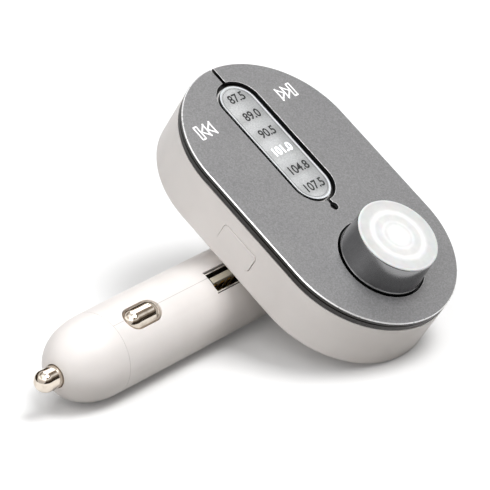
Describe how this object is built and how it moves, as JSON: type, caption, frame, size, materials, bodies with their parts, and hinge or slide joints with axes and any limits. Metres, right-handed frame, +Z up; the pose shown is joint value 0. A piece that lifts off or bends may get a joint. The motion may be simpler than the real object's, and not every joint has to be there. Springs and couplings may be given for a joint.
{
  "type": "car fm transmitter",
  "caption": "Car FM transmitter: stadium-shaped head with dial, knob and track keys, hinged on a 12 V plug with a USB port.",
  "frame": {"origin": "on the plug's axis, at the shoulder where its full-diameter barrel starts behind the hinge fork", "axes": "-X along the plug towards its tip, +Z up from the surface that the folded part rests on; the head leans back about the plug's axis, its face looking up and towards -Y"},
  "size_m": [0.1061, 0.078, 0.0577],
  "materials": {
    "white_case": "smooth satin white",
    "dark_trim": "glossy near-black ring",
    "face_grey": "fine metallic grey paint",
    "black_frame": "matt black",
    "switch_button": "matt black",
    "switch_metal": "stamped steel",
    "clear_lens": "clear polished plastic",
    "scale_silver": "silver-grey printed film",
    "guide_white": "matt white",
    "led_lens": "clear yellowish",
    "screw_steel": "plated steel",
    "board_green": "green solder mask",
    "chip_black": "moulded black",
    "can_blue": "sleeved aluminium can",
    "shaft_brass": "turned brass",
    "knob_core": "translucent white",
    "knob_grey": "metallic grey lacquer",
    "knob_cap": "milky white",
    "washer_nylon": "natural nylon",
    "lead_red": "insulated wire",
    "contact_chrome": "bright plated",
    "fuse_glass": "clear glass",
    "fuse_cap": "nickel plated",
    "spring_steel": "spring wire",
    "inner_plastic": "natural plastic"
  },
  "bodies": {
    "head": {"rear_housing": "white_case", "trim_ring": "dark_trim", "face_plate": "face_grey", "key_switches": "switch_metal", "scale_lens": "clear_lens", "scale_film": "scale_silver", "light_guide": "guide_white", "scale_leds": "led_lens", "inner_frame": "black_frame", "frame_screws": "screw_steel", "main_board": "board_green", "shield_can": "switch_metal", "head_chips": "chip_black", "head_capacitors": "can_blue", "crystal": "switch_metal", "mic_capsule": "switch_metal", "channel_switch": "switch_metal", "encoder_body": "switch_metal", "hinge_lug": "white_case", "lug_screws": "screw_steel", "hinge_leads": "lead_red"},
    "prev_key": {"prev_key": "face_grey", "prev_plunger": "switch_button"},
    "next_key": {"next_key": "face_grey", "next_plunger": "switch_button"},
    "channel_button": {"channel_button": "white_case", "channel_plunger": "switch_button"},
    "knob_press": {"press_plunger": "switch_button"},
    "knob": {"encoder_shaft": "shaft_brass", "knob_core": "knob_core", "knob_shell": "knob_grey", "knob_cap": "knob_cap"},
    "plug": {"plug_shell_left": "white_case", "plug_shell_right": "white_case", "plug_screw": "screw_steel", "nose_cap": "white_case", "fuse_holder": "inner_plastic", "fuse_contact": "shaft_brass", "power_board": "board_green", "lead_connector": "inner_plastic", "inductor": "chip_black", "power_capacitors": "can_blue", "power_chips": "chip_black", "usb_shell": "contact_chrome", "usb_tongue": "inner_plastic", "usb_contacts": "shaft_brass", "hinge_pin": "screw_steel", "hinge_washers": "washer_nylon", "pin_spring": "spring_steel", "contact_spring_upper": "spring_steel", "contact_spring_lower": "spring_steel"},
    "centre_pin": {"centre_pin": "contact_chrome", "fuse_tube": "fuse_glass", "fuse_caps": "fuse_cap"},
    "side_contact_upper": {"side_contact_upper": "contact_chrome"},
    "side_contact_lower": {"side_contact_lower": "contact_chrome"}
  },
  "joints": [
    {"name": "plug_hinge", "type": "hinge", "parent": "head", "child": "plug", "pos_m": [0.012, 0, 0], "axis": [0, -0.8446, -0.5353], "range_deg": [0, 180], "deforming": ["hinge_leads"]},
    {"name": "prev_key_press", "type": "hinge", "parent": "head", "child": "prev_key", "pos_m": [0, -0.02004, 0.02181], "axis": [-1, 0, 0], "range_deg": [0, 0.57], "stiffness_Nm_per_rad": 5, "springref_deg": -0.11},
    {"name": "next_key_press", "type": "hinge", "parent": "head", "child": "next_key", "pos_m": [0.024, -0.02004, 0.02181], "axis": [-1, 0, 0], "range_deg": [0, 0.57], "stiffness_Nm_per_rad": 5, "springref_deg": -0.11},
    {"name": "channel_button_press", "type": "slide", "parent": "head", "child": "channel_button", "axis": [1, 0, 0], "range_m": [0, 0.0005], "stiffness_N_per_m": 2500, "springref_m": -0.0001},
    {"name": "knob_push", "type": "slide", "parent": "head", "child": "knob_press", "axis": [0, 0.5353, -0.8446], "range_m": [0, 0.0005], "stiffness_N_per_m": 5000, "springref_m": -0.0001},
    {"name": "knob_turn", "type": "hinge", "parent": "knob_press", "child": "knob", "pos_m": [0.012, -0.03519, 0.01339], "axis": [0, -0.5353, 0.8446], "continuous": true},
    {"name": "centre_pin_slide", "type": "slide", "parent": "plug", "child": "centre_pin", "axis": [1, 0, 0], "range_m": [0, 0.003], "stiffness_N_per_m": 1200, "springref_m": -0.002, "deforming": ["pin_spring"]},
    {"name": "side_contact_upper_slide", "type": "slide", "parent": "plug", "child": "side_contact_upper", "axis": [0, 0.5353, -0.8446], "range_m": [0, 0.0012], "stiffness_N_per_m": 1200, "springref_m": -0.001, "deforming": ["contact_spring_upper"]},
    {"name": "side_contact_lower_slide", "type": "slide", "parent": "plug", "child": "side_contact_lower", "axis": [0, -0.5353, 0.8446], "range_m": [0, 0.0012], "stiffness_N_per_m": 1200, "springref_m": -0.001, "deforming": ["contact_spring_lower"]}
  ]
}
